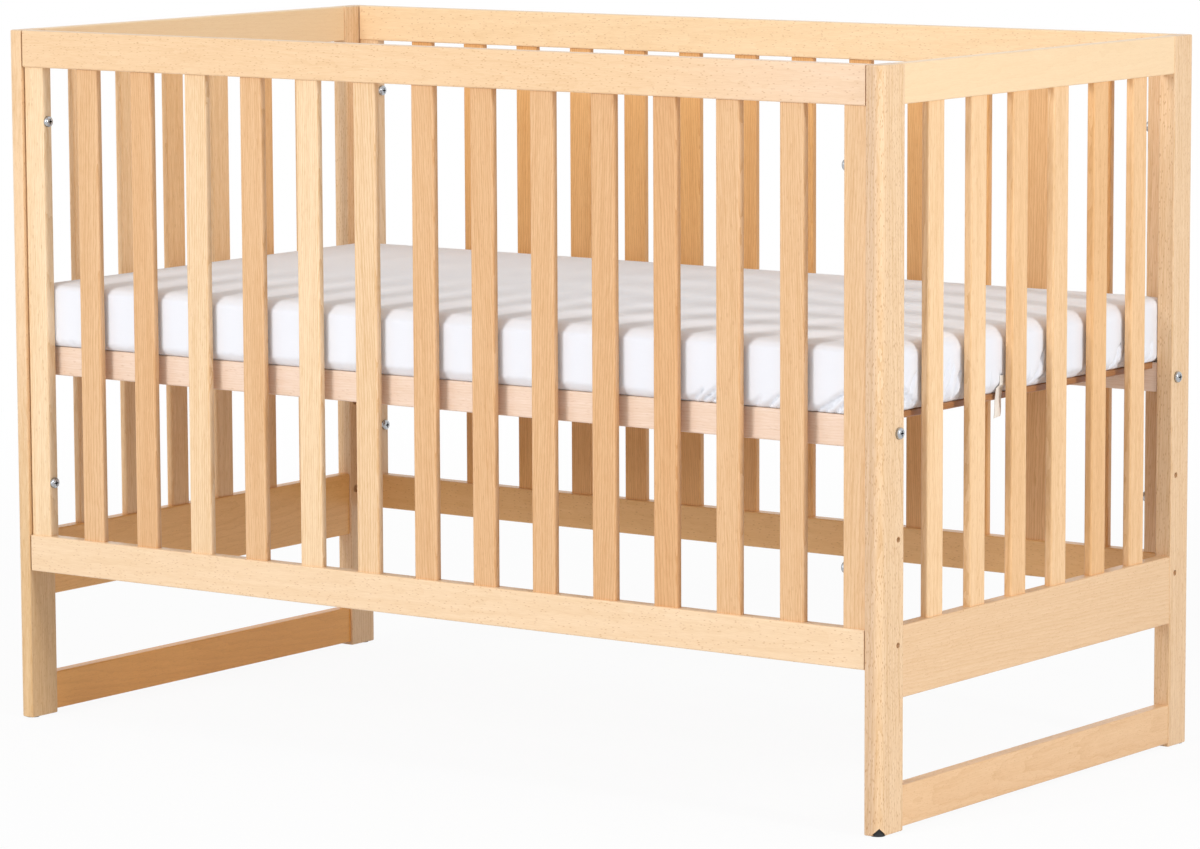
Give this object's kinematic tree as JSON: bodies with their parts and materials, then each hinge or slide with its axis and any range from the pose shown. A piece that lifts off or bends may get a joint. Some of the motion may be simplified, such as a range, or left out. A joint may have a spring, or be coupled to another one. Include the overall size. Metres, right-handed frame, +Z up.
{
  "type": "baby crib",
  "caption": "Free-standing baby crib of solid beech with slatted sides and ends, a slatted base bolted through the posts, and a loose mattress in a plain white fitted sheet.",
  "frame": {"origin": "on the floor under the middle of the crib", "axes": "+X along the length to the right end, +Y from the front side to the rear side, +Z up"},
  "size_m": [1.259, 0.67, 0.838],
  "materials": {
    "beech": "clear satin lacquer",
    "base_beech": "clear satin lacquer",
    "dowel_wood": "bare",
    "bolt_zinc": "bright zinc plate",
    "insert_zinc": "dull zinc plate",
    "sheet_cotton": "plain cotton jersey",
    "tape_cotton": "plain cotton tape",
    "glide_plastic": "matt"
  },
  "bodies": {
    "frame": {"base_bolts": "bolt_zinc", "base_support_pegs": "bolt_zinc", "foot_glides": "glide_plastic", "front_bottom_rail": "beech", "front_left_post": "beech", "front_left_stile": "beech", "front_right_post": "beech", "front_right_stile": "beech", "front_slat_01": "beech", "front_slat_02": "beech", "front_slat_03": "beech", "front_slat_04": "beech", "front_slat_05": "beech", "front_slat_06": "beech", "front_slat_07": "beech", "front_slat_08": "beech", "front_slat_09": "beech", "front_slat_10": "beech", "front_slat_11": "beech", "front_slat_12": "beech", "front_slat_13": "beech", "front_top_rail": "beech", "left_end_bottom_rail": "beech", "left_end_foot_stretcher": "beech", "left_end_slats": "beech", "left_end_top_rail": "beech", "panel_bolts": "bolt_zinc", "panel_inserts": "insert_zinc", "rail_dowels": "dowel_wood", "rear_bottom_rail": "beech", "rear_left_post": "beech", "rear_left_stile": "beech", "rear_right_post": "beech", "rear_right_stile": "beech", "rear_slat_01": "beech", "rear_slat_02": "beech", "rear_slat_03": "beech", "rear_slat_04": "beech", "rear_slat_05": "beech", "rear_slat_06": "beech", "rear_slat_07": "beech", "rear_slat_08": "beech", "rear_slat_09": "beech", "rear_slat_10": "beech", "rear_slat_11": "beech", "rear_slat_12": "beech", "rear_slat_13": "beech", "rear_top_rail": "beech", "right_end_bottom_rail": "beech", "right_end_foot_stretcher": "beech", "right_end_slats": "beech", "right_end_top_rail": "beech"},
    "base": {"base_front_rail": "base_beech", "base_rear_rail": "base_beech", "base_slats": "base_beech"},
    "mattress": {"mattress": "sheet_cotton", "mattress_tie_tape": "tape_cotton"}
  },
  "joints": [
    {"name": "base_lift", "type": "slide", "parent": "frame", "child": "base", "axis": [0, 0, 1], "range_m": [0, 0.45]},
    {"name": "mattress_lift", "type": "slide", "parent": "base", "child": "mattress", "axis": [0, 0, 1], "range_m": [0, 0.4]}
  ]
}
